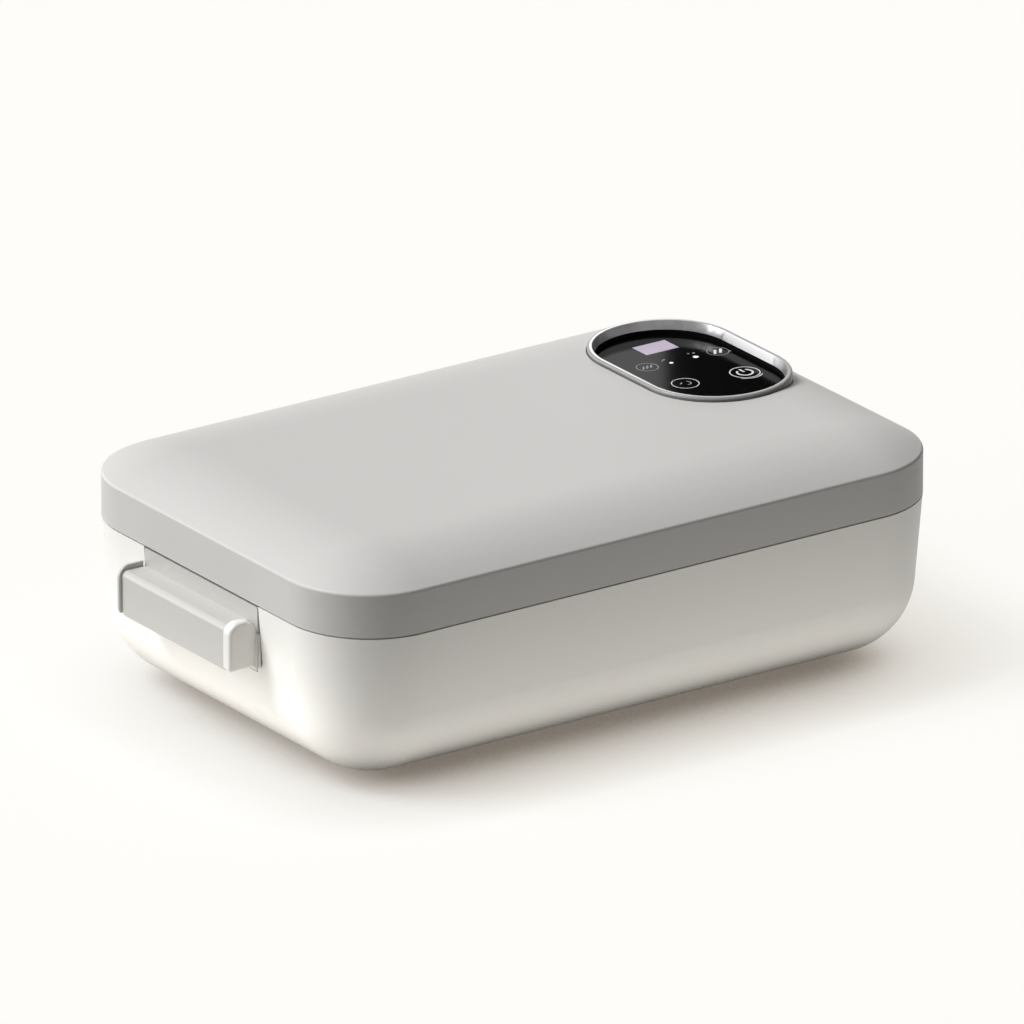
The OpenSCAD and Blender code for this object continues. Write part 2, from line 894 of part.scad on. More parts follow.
module lid_cover() {
    color(light_grey)
        difference() {
            union() {
                difference() {
                    lid_form(0, edge_r, lid_z);
                    lid_form(lid_wall, inner_edge_r, lid_z - eps);
                }
                intersection() {
                    lid_form(lid_wall / 2, inner_edge_r, lid_z);
                    union() {
                        panel_block(bezel_w + slip + lid_wall, panel_floor_z - panel_floor_t, top_z);
                        for (p = lid_screw_places())
                            translate([p[0], p[1], liner_z + liner_t])
                                cylinder(r = lid_boss_r, h = dome_h + band_h);
                    }
                }
                lid_knuckles();
            }
            panel_block(bezel_w + slip, panel_floor_z, bezel_top_z + eps);
            panel_block(-control_lip, panel_floor_z - panel_floor_t - eps, panel_floor_z + eps);
            for (p = lid_screw_places())
                translate([p[0], p[1], liner_z])
                    cylinder(r = screw_r, h = liner_t + lid_screw_l);
            rod_y(hinge_pin_r + running, hinge_x, hinge_z, -hinge_l / 2, hinge_l / 2);
        }
}

module lid_liner() {
    inset = lid_wall + slip;
    rib_in = seal_u() - slip / 2;
    rib_out = seal_u() + seal_w + slip / 2;
    rib_z = liner_z - seal_rib_h;
    color(white)
        difference() {
            union() {
                slab(body_l - 2 * inset, body_w - 2 * inset, corner_r - inset, liner_z, liner_z + liner_t);
                outline_ring(rib_in - seal_rib, rib_in, rib_z, liner_z);
                outline_ring(rib_out, rib_out + seal_rib, rib_z, liner_z);
            }
            translate([plate_x - eps, latch_y - ear_y - latch_notch_y, liner_z - eps])
                cube([eps + inset + latch_notch_x, 2 * (ear_y + latch_notch_y), liner_t + 2 * eps]);
            for (p = lid_screw_places())
                translate([p[0], p[1], liner_z - eps]) {
                    cylinder(r = screw_r + head_play, h = liner_t + 2 * eps);
                    cylinder(r = screw_head_r + head_play, h = lid_head_sunk + eps);
                }
        }
}

// Distance of the seal's inner side from the corner centres
function seal_u() = well_r - seal_in;

module lid_gasket() {
    color([0.85, 0.86, 0.87])
        outline_ring(seal_u(), seal_u() + seal_w, flange_z + slip, liner_z);
}

module lid_screws() {
    color(satin_steel)
        for (p = lid_screw_places())
            translate([p[0], p[1], liner_z]) {
                translate([0, 0, lid_head_sunk - lid_head_h])
                    cylinder(r = screw_head_r, h = lid_head_h);
                cylinder(r = screw_r - screw_play, h = liner_t + lid_screw_l - bore_stop);
            }
}

// Strike strip behind the band, with a ledge under the latch's noses
module lid_catch() {
    low_z = lid_z + catch_lift;
    color(satin_steel)
        translate([plate_x + lid_wall, latch_y - ear_y, low_z]) {
            cube([catch_t, 2 * ear_y, catch_h]);
            cube([catch_out, 2 * ear_y, tongue_top_z - nose_h - slip - low_z]);
        }
}

module contact_pads() {
    color(brass)
        translate([lid_contact_x, lid_contact_y, liner_z - pad_block_h])
            cube([lid_contact_w, lid_contact_l, pad_block_h]);
}

module lid_cable() {
    start_y = lid_contact_y + lid_contact_l - cable_in;
    end_y = panel_y - glass_l / 2 + cable_end;
    floor_z = liner_z + liner_t + cable_half[2];
    color([0.85, 0.85, 0.84])
        translate([panel_x + cable_x, 0, 0]) {
            strip([0, start_y, floor_z], [0, end_y, floor_z], cable_half);
            strip([0, end_y, floor_z], [0, end_y, control_z], [cable_half[0], cable_half[1], 0]);
        }
}

// ---- control panel ----

// The bezel's hollow above the glass: a straight wall, then a slope out to the rim
module bezel_bowl() {
    wall_r = glass_r + glass_play;
    rim_r = glass_r + bezel_w - bezel_rim;
    cx = glass_w - 2 * glass_r;
    cy = glass_l - 2 * glass_r;
    translate([panel_x, panel_y, 0]) {
        sweep_round(cx, cy)
            polygon([[0, glass_z], [wall_r, glass_z], [wall_r, glass_z + bezel_step],
                [rim_r, bezel_top_z], [rim_r, bezel_top_z + eps], [0, bezel_top_z + eps]]);
        translate([-cx / 2, -cy / 2, glass_z])
            cube([cx, cy, bezel_top_z + eps - glass_z]);
    }
}

module bezel() {
    color(satin_steel)
        difference() {
            panel_block(bezel_w, bezel_bot_z, bezel_top_z);
            bezel_bowl();
            panel_block(glass_play, glass_z - glass_t, glass_z + glass_play);
            panel_block(-bezel_shelf, bezel_bot_z - eps, glass_z);
        }
}

module touch_panel() {
    color(glass_black)
        difference() {
            panel_block(0, glass_z - glass_t, glass_z);
            translate([display_x - display_w / 2, display_y - display_l / 2, glass_z - display_t])
                cube([display_w, display_l, display_t + eps]);
        }
}

module display_window() {
    color([0.8, 0.74, 0.86])
        translate([display_x - display_w / 2, display_y - display_l / 2, glass_z - display_t])
            cube([display_w, display_l, display_t]);
}

module display_module() {
    low_z = control_z + control_t;
    color([0.2, 0.2, 0.22])
        translate([display_x - display_w / 2 - display_edge, display_y - display_l / 2 - display_edge,
            low_z])
            cube([display_w + 2 * display_edge, display_l + 2 * display_edge, glass_z - glass_t - low_z]);
}

module control_board() {
    color(board_green)
        panel_block(-control_edge, control_z, control_z + control_t);
}

module control_parts() {
    color([0.1, 0.1, 0.11]) {
        translate([panel_x + chip_place[0], panel_y + chip_place[1], control_z - chip_t])
            cube([chip_side, chip_side, chip_t]);
        translate([panel_x + buzzer_place[0], panel_y + buzzer_place[1], control_z - buzzer_h])
            cylinder(r = buzzer_r, h = buzzer_h);
    }
}

module touch_springs() {
    low_z = control_z + control_t;
    color(bright_steel)
        for (k = key_places)
            translate([panel_x + k[0], panel_y + k[1], low_z])
                difference() {
                    cylinder(r = key_spring_r, h = glass_z - glass_t - low_z);
                    translate([0, 0, -eps])
                        cylinder(r = key_spring_r - key_spring_wall, h = glass_z);
                }
}

module indicator_leds() {
    low_z = control_z + control_t;
    color([0.9, 0.95, 1])
        for (p = led_places)
            translate([panel_x + p[0], panel_y + p[1], low_z])
                cylinder(r = led_r, h = glass_z - glass_t - low_z);
}

// ---- latch ----

// Section of the grip bar, in X and Z, with a round upper front edge and a small round foot
module bar_profile(out, top, bottom, r, foot) {
    x0 = plate_x - out;
    difference() {
        translate([x0, bottom])
            square([out, top - bottom]);
        translate([x0, top - r])
            square(r);
        translate([x0, bottom])
            square(foot);
    }
    translate([x0 + r, top - r])
        circle(r);
    translate([x0 + foot, bottom + foot])
        circle(foot);
}

// A prism along Y over a section in X and Z
module prism_y(y0, y1) {
    translate([0, y1, 0])
        rotate([90, 0, 0])
            linear_extrude(y1 - y0)
                children();
}

// Space in which the bar stays: its far lower corner is round, seen from the front
module far_corner(y1, bottom, r) {
    translate([plate_x - bar_out - cap_proud - eps, 0, 0])
        rotate([90, 0, 90])
            linear_extrude(bar_out + cap_proud + latch_plate_t + eps) {
                translate([latch_near_y, bottom])
                    square([y1 - r - latch_near_y, 2 * bar_h]);
                translate([latch_near_y, bottom + r])
                    square([y1 - latch_near_y, 2 * bar_h]);
                translate([y1 - r, bottom + r])
                    circle(r);
            }
}

// Tongues with their noses, and the hub on which the latch turns
module latch_hubs() {
    half = (ear_y - slip - hub_in) / 2;
    for (side = [-1, 1])
        translate([0, side * (ear_y - slip + hub_in) / 2, 0]) {
            rod_y(hub_r, pivot_x, pivot_z, -half, half);
            translate([plate_x + latch_plate_t / 2, -half, pivot_z - hub_r / 2])
                cube([pivot_x - plate_x - latch_plate_t / 2, 2 * half, hub_r]);
            translate([tongue_x, -tongue_l / 2, pivot_z])
                cube([tongue_t, tongue_l, tongue_top_z - pivot_z]);
            translate([tongue_x - nose_out, -tongue_l / 2, tongue_top_z - nose_h])
                cube([tongue_t + nose_out, tongue_l, nose_h]);
        }
}

module latch_lever() {
    wide_y = bar_near_y - cap_gap;
    shade_z = cap_tail_z + cap_tail_gap;
    neck_out = bar_out - bar_neck;
    color(light_grey)
        translate([0, latch_y, 0])
            difference() {
                union() {
                    intersection() {
                        union() {
                            translate([plate_x, wide_y, latch_bot_z])
                                cube([latch_plate_t, latch_far_y - wide_y, latch_h]);
                            prism_y(wide_y, latch_far_y)
                                bar_profile(neck_out, bar_top_z - bar_neck, latch_bot_z + bar_neck,
                                    bar_r - bar_neck, bar_foot_r);
                        }
                        far_corner(latch_far_y, latch_bot_z, bar_end_r);
                    }
                    intersection() {
                        prism_y(bar_near_y, bar_far_y)
                            bar_profile(bar_out, bar_top_z, latch_bot_z, bar_r, bar_foot_r);
                        far_corner(bar_far_y, latch_bot_z, bar_end_r);
                    }
                    translate([plate_x, latch_near_y, shade_z])
                        cube([latch_plate_t, wide_y + cap_gap - latch_near_y, latch_top_z - shade_z]);
                    latch_hubs();
                }
                translate([bar_x + bar_wall, bar_near_y + bar_wall, latch_bot_z - eps])
                    cube([bar_out - bar_wall, bar_far_y - bar_near_y - 2 * bar_wall,
                        bar_h - bar_ceiling + eps]);
                rod_y(latch_pin_r + running, pivot_x, pivot_z, -ear_y - ear_t, ear_y + ear_t);
            }
}

// Near cap: round at both upper edges, with a tail within the plate's thickness
module near_cap() {
    prism_y(cap_near_y, cap_near_y + cap_t) {
        difference() {
            bar_profile(bar_out + cap_proud, cap_top_z, cap_bot_z, cap_r, cap_foot_r);
            translate([plate_x - cap_r, cap_tail_z])
                square(cap_r);
        }
        translate([plate_x - cap_r, cap_tail_z])
            circle(cap_r);
        translate([plate_x - cap_r, cap_bot_z])
            square([cap_r + latch_plate_t, cap_tail_z - cap_bot_z]);
    }
    translate([plate_x, latch_near_y, latch_bot_z])
        cube([latch_plate_t, cap_inset + cap_t, cap_tail_z - latch_bot_z]);
}

// Far end plate: beyond the bar, clear of the wall behind it
module far_cap() {
    intersection() {
        prism_y(latch_far_y, latch_far_y + far_cap_t)
            difference() {
                bar_profile(bar_out + cap_proud, cap_top_z, cap_bot_z, cap_r, cap_foot_r);
                translate([plate_x - cap_clear, cap_bot_z - eps])
                    square([2 * cap_r, cap_top_z]);
            }
        far_corner(latch_far_y + far_cap_t, cap_bot_z, bar_end_r);
    }
}

module latch_end_caps() {
    color(white)
        translate([0, latch_y, 0]) {
            near_cap();
            far_cap();
        }
}

base_shell();
base_plate();
feet();
base_screws();
heating_well();
heating_plate();
heater_elements();
thermal_fuse();
temperature_sensor();
insulation_pad();
power_board();
board_parts();
power_inlet();
inlet_pins();
heater_leads();
lid_contacts();
food_tray();
side_tray();
hinge_pin();
latch_pin();
latch_spring();
lid_cover();
lid_liner();
lid_gasket();
lid_screws();
lid_catch();
contact_pads();
lid_cable();
bezel();
touch_panel();
display_window();
display_module();
control_board();
control_parts();
touch_springs();
indicator_leds();
latch_lever();
latch_end_caps();
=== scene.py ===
"""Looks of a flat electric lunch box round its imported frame: finishes, panel marks and studio."""

import logging
import math
from collections.abc import Callable
from dataclasses import dataclass, field
from enum import Enum

import bmesh
import bpy
from mathutils import Matrix, Vector


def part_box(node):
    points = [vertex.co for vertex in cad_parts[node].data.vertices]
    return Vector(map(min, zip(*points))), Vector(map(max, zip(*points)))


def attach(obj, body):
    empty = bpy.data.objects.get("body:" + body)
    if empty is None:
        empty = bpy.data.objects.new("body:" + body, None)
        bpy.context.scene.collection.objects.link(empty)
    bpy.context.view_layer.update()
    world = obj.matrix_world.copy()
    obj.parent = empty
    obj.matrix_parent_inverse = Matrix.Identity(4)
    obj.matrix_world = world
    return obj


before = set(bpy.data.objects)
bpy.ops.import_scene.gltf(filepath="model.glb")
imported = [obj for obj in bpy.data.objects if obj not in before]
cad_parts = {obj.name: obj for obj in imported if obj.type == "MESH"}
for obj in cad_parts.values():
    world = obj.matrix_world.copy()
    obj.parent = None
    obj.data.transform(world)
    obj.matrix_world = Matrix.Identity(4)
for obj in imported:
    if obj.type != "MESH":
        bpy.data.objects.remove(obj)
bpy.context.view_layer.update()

log = logging.getLogger("lunch_box")
MM = 0.001
# Largest upward part of a wall's normal, and how far below the top an edge still counts as on it.
UPRIGHT = 0.1
TOP_BAND = 0.1 * MM
# Corners nearer than this are one corner, and faces that differ by less than this angle are flat.
WELD_REACH = 0.001 * MM
FLAT_ANGLE = math.radians(1)
# Decimals of a millimetre to which the two corners of a split edge agree.
SAME_DIGITS = 3
# Distance in millimetres at which a line's last point closes it.
SAME_POINT = 1e-6

Point = tuple[float, float]
Triple = tuple[float, float, float]
Stroke = tuple[list[Point], float]


def linear(colour: str) -> tuple[float, float, float, float]:
    """Turns an sRGB hex colour into linear light.

    Args:
        colour: Six hex digits after a hash.

    Returns:
        Red, green, blue and an alpha of one.
    """
    values = [int(colour[i:i + 2], 16) / 255 for i in (1, 3, 5)]
    made = [v / 12.92 if v <= 0.04045 else ((v + 0.055) / 1.055) ** 2.4 for v in values]
    return (*made, 1.0)


def add_node(tree: bpy.types.NodeTree, kind: str, settings: dict | None = None,
             values: dict | None = None, links: dict | None = None) -> bpy.types.Node:
    """Adds a node with its settings, its sockets' values and its incoming links.

    Args:
        tree: The node tree.
        kind: Blender's name of the node type.
        settings: Attributes of the node.
        values: Socket name or number to the value set on it.
        links: Socket name or number to the output socket that feeds it.

    Returns:
        The new node.
    """
    made = tree.nodes.new(kind)
    for name, value in (settings or {}).items():
        setattr(made, name, value)
    for name, value in (values or {}).items():
        made.inputs[name].default_value = value
    for name, source in (links or {}).items():
        tree.links.new(source, made.inputs[name])
    return made


class Pattern(Enum):
    """How a surface's fine relief runs."""

    GRAIN = "grain"
    BRUSHED_X = "brushed along X"
    BRUSHED_Y = "brushed along Y"
    TURNED = "turned"


@dataclass(frozen=True)
class Finish:
    """A real material with the surface that its making gave it; in a few, the colour also carries
    painted light or shade.
    """

    name: str
    colour: str
    roughness: float
    metallic: float = 0.0
    pattern: Pattern = Pattern.GRAIN
    grain_mm: float = 0.5
    relief_mm: float = 0.01
    drift: float = 0.03
    drift_mm: float = 45.0
    gloss_drift: float = 0.06
    subsurface: float = 0.0
    glow: float = 0.0
    specular: float = 0.5
    broad_detail: float = 3.0
    fine_detail: float = 4.0
    noise_span: Point = (0.3, 0.7)
    relief_strength: float = 0.6
    scatter_mm: float = 2.0

    def stretch(self) -> Triple:
        """Scale of the relief along each axis, for its direction of brushing."""
        along, across = 0.04, 3
        return {Pattern.GRAIN: (1, 1, 1), Pattern.BRUSHED_X: (along, 1, 1),
                Pattern.BRUSHED_Y: (1, along, 1), Pattern.TURNED: (1, 1, across)}[self.pattern]

    def build(self) -> bpy.types.Material:
        """Makes the material's nodes.

        Returns:
            The material, ready for a slot.
        """
        material = bpy.data.materials.new(self.name)
        material.use_nodes = True
        tree = material.node_tree
        tree.nodes.clear()
        place = add_node(tree, "ShaderNodeTexCoord")
        scaled = add_node(tree, "ShaderNodeMapping", values={"Scale": self.stretch()},
                          links={"Vector": place.outputs["Object"]})
        broad = add_node(tree, "ShaderNodeTexNoise",
                         values={"Scale": 1 / (self.drift_mm * MM), "Detail": self.broad_detail},
                         links={"Vector": place.outputs["Object"]})
        fine = add_node(tree, "ShaderNodeTexNoise",
                        values={"Scale": 1 / (self.grain_mm * MM), "Detail": self.fine_detail},
                        links={"Vector": scaled.outputs["Vector"]})
        base = linear(self.colour)
        low = tuple(c * (1 - self.drift) for c in base[:3]) + (1.0,)
        high = tuple(min(1.0, c * (1 + self.drift)) for c in base[:3]) + (1.0,)
        shade = add_node(tree, "ShaderNodeMix", {"data_type": "RGBA"}, {6: low, 7: high},
                         {0: broad.outputs["Fac"]})
        gloss = add_node(tree, "ShaderNodeMapRange",
                         values={"From Min": self.noise_span[0], "From Max": self.noise_span[1],
                                 "To Min": self.roughness * (1 - self.gloss_drift),
                                 "To Max": self.roughness * (1 + self.gloss_drift)},
                         links={"Value": fine.outputs["Fac"]})
        relief = add_node(tree, "ShaderNodeBump",
                          values={"Strength": self.relief_strength,
                                  "Distance": self.relief_mm * MM},
                          links={"Height": fine.outputs["Fac"]})
        shader = add_node(tree, "ShaderNodeBsdfPrincipled",
                          values={"Metallic": self.metallic, "Specular IOR Level": self.specular,
                                  "Subsurface Weight": self.subsurface,
                                  "Subsurface Scale": self.scatter_mm * MM,
                                  "Emission Strength": self.glow, "Emission Color": base},
                          links={"Base Color": shade.outputs[2], "Roughness": gloss.outputs[0],
                                 "Normal": relief.outputs["Normal"]})
        add_node(tree, "ShaderNodeOutputMaterial", links={"Surface": shader.outputs["BSDF"]})
        return material


# Injection-moulded ABS with a fine spark-eroded texture: a soft sheen with no sharp reflections.
LID_GREY = Finish("abs_moulded_satin_grey", "#C4C3C1", 0.48, grain_mm=0.35, relief_mm=0.006,
                  drift=0.012)
# The same ABS on the latch, which hands keep a little smoother.
LATCH_GREY = Finish("abs_moulded_latch_grey", "#C2C1BD", 0.34, grain_mm=0.35, relief_mm=0.004,
                    drift=0.012)
# Injection-moulded polypropylene, polished mould: bright white, light just enters it.
SHELL_WHITE = Finish("polypropylene_moulded_white", "#F2F1ED", 0.38, grain_mm=0.6, relief_mm=0.003,
                     drift=0.008, subsurface=0.08)
# The caps are the same polypropylene in a small polished mould.
CAP_WHITE = Finish("polypropylene_moulded_cap_white", "#E9E8E4", 0.3, grain_mm=0.6, relief_mm=0.002,
                   drift=0.006, subsurface=0.08)
# Aluminium ring, turned and cut bright: highlights drawn out round the rim and the inner slope.
BEZEL_BRIGHT = Finish("aluminium_turned_bright_rim", "#DEDEE0", 0.33, metallic=1.0,
                      pattern=Pattern.TURNED, grain_mm=0.25, relief_mm=0.002, drift=0.02)
# The ring's outer wall is sprayed with a satin grey lacquer, dull beside the cut rim; its colour is
# made darker than the lacquer's own as painted shade, for the wall's shaded front.
BEZEL_GREY_PAINTED_SHADE = Finish("lacquer_grey_wall_painted_shade", "#626160", 0.4, grain_mm=0.25,
                    relief_mm=0.002, drift=0.02)
# Painted highlight: the rim's rounded outer edge takes a paler copy of the wall's grey lacquer, for
# the light that the edge catches.
BEZEL_EDGE_PAINTED_HIGHLIGHT = Finish("lacquer_grey_edge_painted_highlight", "#8C8B89", 0.35, grain_mm=0.25,
                    relief_mm=0.002, drift=0.02)
# Painted dark reflection: the bezel's upright inner step above the glass is coloured black for the
# dark it mirrors from the black glass, and it frames the glass with a dark line.
BEZEL_STEP_PAINTED_DARK = Finish("bezel_step_painted_dark_reflection", "#0A0A0A", 0.9, grain_mm=0.3, relief_mm=0.01,
                    specular=0.05)
# Toughened glass printed black on its back, its face coated against reflections.
PANEL_GLASS = Finish("glass_coated_back_printed_black", "#070708", 0.12, grain_mm=3.0,
                     relief_mm=0.0002, drift=0.05, specular=0.036)
# Diffused light window of a segment display, lit lilac from behind.
DISPLAY_LILAC = Finish("acrylic_display_lit_lilac", "#A99DB0", 0.25, drift=0.14, drift_mm=5,
                       glow=0.26, specular=0.2)
# Silk-screened white ink, baked: flat and slightly uneven.
INK_WHITE = Finish("ink_screen_printed_white", "#DCDCDE", 0.5, grain_mm=0.2, relief_mm=0.002,
                   drift=0.06, drift_mm=3)
# The same ink thinned by its mesh: the fine rings and the menu sign read as grey.
INK_THIN = Finish("ink_screen_printed_thin_grey", "#8E8E90", 0.5, grain_mm=0.2, relief_mm=0.002,
                  drift=0.1, drift_mm=3)
# Light of the two indicator lamps through the back print.
LAMP_LIT = Finish("acrylic_lamp_lit_white", "#EDEDEE", 0.3, grain_mm=0.5, relief_mm=0.001,
                  drift=0.03, glow=0.4)
# Moulded silicone foot: dull and soft.
FOOT_RUBBER = Finish("silicone_moulded_grey", "#8F8E8B", 0.7, grain_mm=0.5, relief_mm=0.01)
# Silicone extrusion of the lid seal: milky.
SEAL_SILICONE = Finish("silicone_extruded_milky", "#D9DBDC", 0.5, grain_mm=0.5, relief_mm=0.004,
                       subsurface=0.2)
# Stainless sheet, deep drawn and brushed.
TRAY_STEEL = Finish("stainless_deep_drawn_brushed", "#BDBDBF", 0.3, metallic=1.0,
                    pattern=Pattern.BRUSHED_X, grain_mm=0.3, relief_mm=0.004, drift=0.03)
# Aluminium pan, drawn and anodised.
WELL_ALUMINIUM = Finish("aluminium_drawn_anodised", "#B9BABD", 0.38, metallic=1.0, grain_mm=0.4,
                        relief_mm=0.004)
# Aluminium plate and extrusions, milled and left plain.
PLATE_ALUMINIUM = Finish("aluminium_milled_plain", "#A9AAAD", 0.45, metallic=1.0,
                         pattern=Pattern.BRUSHED_Y, grain_mm=0.3, relief_mm=0.006)
# Zinc-plated steel of screws.
SCREW_STEEL = Finish("steel_zinc_plated", "#B4B7BB", 0.32, metallic=1.0, grain_mm=0.3,
                     relief_mm=0.003)
# Ground steel pin.
PIN_STEEL = Finish("steel_ground", "#A9ABAF", 0.25, metallic=1.0, pattern=Pattern.BRUSHED_Y,
                   grain_mm=0.2, relief_mm=0.002)
# Spring wire.
SPRING_STEEL = Finish("steel_drawn_wire", "#9FA1A5", 0.3, metallic=1.0, grain_mm=0.2,
                      relief_mm=0.002)
# Plated contact brass.
CONTACT_BRASS = Finish("brass_gold_flashed", "#C9A75A", 0.28, metallic=1.0, grain_mm=0.3,
                       relief_mm=0.002)
# Glass-epoxy board under solder mask.
BOARD_GREEN = Finish("glass_epoxy_solder_mask", "#1D6B3C", 0.35, grain_mm=0.8, relief_mm=0.006,
                     drift=0.08)
# Black moulded component cases and the inlet.
CASE_BLACK = Finish("nylon_moulded_black", "#1B1B1D", 0.45, grain_mm=0.4, relief_mm=0.01, drift=0.1)
# Sleeved lead.
LEAD_RED = Finish("silicone_sleeve_red", "#98261F", 0.5, grain_mm=0.5, relief_mm=0.01)
# Ribbon insulation.
RIBBON_GREY = Finish("pvc_ribbon_grey", "#D2D2CE", 0.45, grain_mm=1.2, relief_mm=0.03,
                     pattern=Pattern.BRUSHED_Y)
# Needled fibre pad.
FIBRE_PAD = Finish("glass_fibre_needled", "#DAD6C8", 0.9, grain_mm=1.0, relief_mm=0.2, drift=0.08,
                   drift_mm=5)
# Clear epoxy lens.
LED_LENS = Finish("epoxy_cast_clear_lens", "#EEF0F2", 0.15, grain_mm=1.0, relief_mm=0.001, glow=0.2)


@dataclass
class Assembly:
    """A group of the frame's nodes that are made, finished and fitted together."""

    title: str
    finishes: dict[str, Finish]
    smooth_angle: float = math.radians(32)
    edge_angle: float = math.radians(50)

    def material(self, finish: Finish) -> bpy.types.Material:
        """The material of a finish, made once and shared by all assemblies."""
        if finish.name not in bpy.data.materials:
            finish.build()
        return bpy.data.materials[finish.name]

    def build(self) -> None:
        """Dresses every node of this assembly."""
        for name, finish in self.finishes.items():
            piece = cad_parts[name]
            piece.data.materials.clear()
            piece.data.materials.append(self.material(finish))
            self.smooth(piece)
            log.info("%s: %s in %s", self.title, name, finish.name)

    def smooth(self, piece: bpy.types.Object) -> None:
        """Shades curved faces smooth and leaves true edges sharp.

        Args:
            piece: A mesh object.
        """
        mesh = piece.data
        if mesh.has_custom_normals:
            return
        for face in mesh.polygons:
            face.use_smooth = True
        mesh.set_sharp_from_angle(angle=self.smooth_angle)

    def weigh(self, piece: bpy.types.Object,
              share: Callable[[Vector, list[Vector]], float]) -> None:
        """Weighs a piece's sharp edges for rounding, also where the import split its faces apart.

        Args:
            piece: A mesh object.
            share: Gives an edge's weight from its first corner and the normals that meet on it.
        """
        mesh = piece.data
        meeting: dict[frozenset, list[tuple[int, Vector]]] = {}
        for face in mesh.polygons:
            for loop in face.loop_indices:
                edge = mesh.edges[mesh.loops[loop].edge_index]
                corners = [mesh.vertices[v].co for v in edge.vertices]
                ends = frozenset(tuple(round(c / MM, SAME_DIGITS) for c in corner)
                                 for corner in corners)
                meeting.setdefault(ends, []).append((edge.index, face.normal.copy()))
        weights = mesh.attributes.new("bevel_weight_edge", "FLOAT", "EDGE")
        for met in meeting.values():
            if met[0][1].angle(met[-1][1], 0.0) > self.edge_angle:
                normals = [normal for _, normal in met]
                for index, _ in met:
                    corner = mesh.vertices[mesh.edges[index].vertices[0]].co
                    weights.data[index].value = share(corner, normals)

    def soften(self, piece: bpy.types.Object, width_mm: float, steps: int) -> bpy.types.Modifier:
        """Rounds a piece's weighed edges, after its faces are welded and its flats made whole.

        Args:
            piece: A mesh object.
            width_mm: Width of the rounding where the weight is one.
            steps: Number of faces across it.

        Returns:
            The rounding.
        """
        weld = piece.modifiers.new("joined_faces", "WELD")
        weld.merge_threshold = WELD_REACH
        flat = piece.modifiers.new("flat_faces", "DECIMATE")
        flat.decimate_type = "DISSOLVE"
        flat.angle_limit = FLAT_ANGLE
        edge = piece.modifiers.new("rounded_edge", "BEVEL")
        edge.width = width_mm * MM
        edge.segments = steps
        edge.limit_method = "WEIGHT"
        edge.harden_normals = True
        edge.use_clamp_overlap = False
        return edge


@dataclass
class BaseTub(Assembly):
    """White tub with its underside, feet, hinge pin and latch pin."""

    title: str = "base tub"
    finishes: dict[str, Finish] = field(default_factory=lambda: {
        "base_shell": SHELL_WHITE, "base_plate": SHELL_WHITE, "feet": FOOT_RUBBER,
        "base_screws": SCREW_STEEL, "hinge_pin": PIN_STEEL, "latch_pin": PIN_STEEL,
        "latch_spring": SPRING_STEEL})


@dataclass
class HeatingWell(Assembly):
    """Well, what heats it, and the two lift-out trays."""

    title: str = "heating well"
    finishes: dict[str, Finish] = field(default_factory=lambda: {
        "heating_well": WELL_ALUMINIUM, "heating_plate": PLATE_ALUMINIUM,
        "heater_elements": PLATE_ALUMINIUM, "thermal_fuse": WELL_ALUMINIUM,
        "temperature_sensor": CONTACT_BRASS, "insulation_pad": FIBRE_PAD,
        "food_tray": TRAY_STEEL, "side_tray": TRAY_STEEL})


@dataclass
class PowerBay(Assembly):
    """Mains inlet, power board, leads and the contacts that feed the lid."""

    title: str = "power bay"
    finishes: dict[str, Finish] = field(default_factory=lambda: {
        "power_board": BOARD_GREEN, "board_parts": CASE_BLACK, "power_inlet": CASE_BLACK,
        "inlet_pins": CONTACT_BRASS, "heater_leads": LEAD_RED, "lid_contacts": CONTACT_BRASS})


@dataclass
class Lid(Assembly):
    """Domed cover with its liner, seal, screws, strike strip and ribbon cable."""

    title: str = "lid"
    finishes: dict[str, Finish] = field(default_factory=lambda: {
        "lid_cover": LID_GREY, "lid_liner": SHELL_WHITE, "lid_gasket": SEAL_SILICONE,
        "lid_screws": SCREW_STEEL, "lid_catch": PIN_STEEL, "contact_pads": CONTACT_BRASS,
        "lid_cable": RIBBON_GREY})


@dataclass
class Latch(Assembly):
    """Grip bar on its plate, with a white cap at its near end and a grey plate at its far one."""

    title: str = "latch"
    finishes: dict[str, Finish] = field(default_factory=lambda: {
        "latch_lever": LATCH_GREY, "latch_end_caps": CAP_WHITE})
    cap_edge_mm: float = 1.2
    cap_edge_steps: int = 5
    thin_edge_share: float = 0.2
    backward: float = 0.5

    def build(self) -> None:
        """Dresses the latch, with a grey far end plate, and rounds the white cap's edges."""
        super().build()
        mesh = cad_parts["latch_end_caps"].data
        mesh.materials.append(self.material(LATCH_GREY))
        for face in mesh.polygons:
            face.material_index = 1 if face.center.y > 0 else 0
        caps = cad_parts["latch_end_caps"]

        def share(place: Vector, normals: list[Vector]) -> float:
            """Nought on the hidden back edges, one on the near cap, little on the thin plate."""
            if any(normal.x > self.backward for normal in normals):
                return 0.0
            return 1.0 if place.y < 0 else self.thin_edge_share

        self.weigh(caps, share)
        self.soften(caps, self.cap_edge_mm, self.cap_edge_steps)


@dataclass(frozen=True)
class Spot:
    """A round mark of the panel: its centre and its radius in millimetres."""

    x: float
    y: float
    r: float


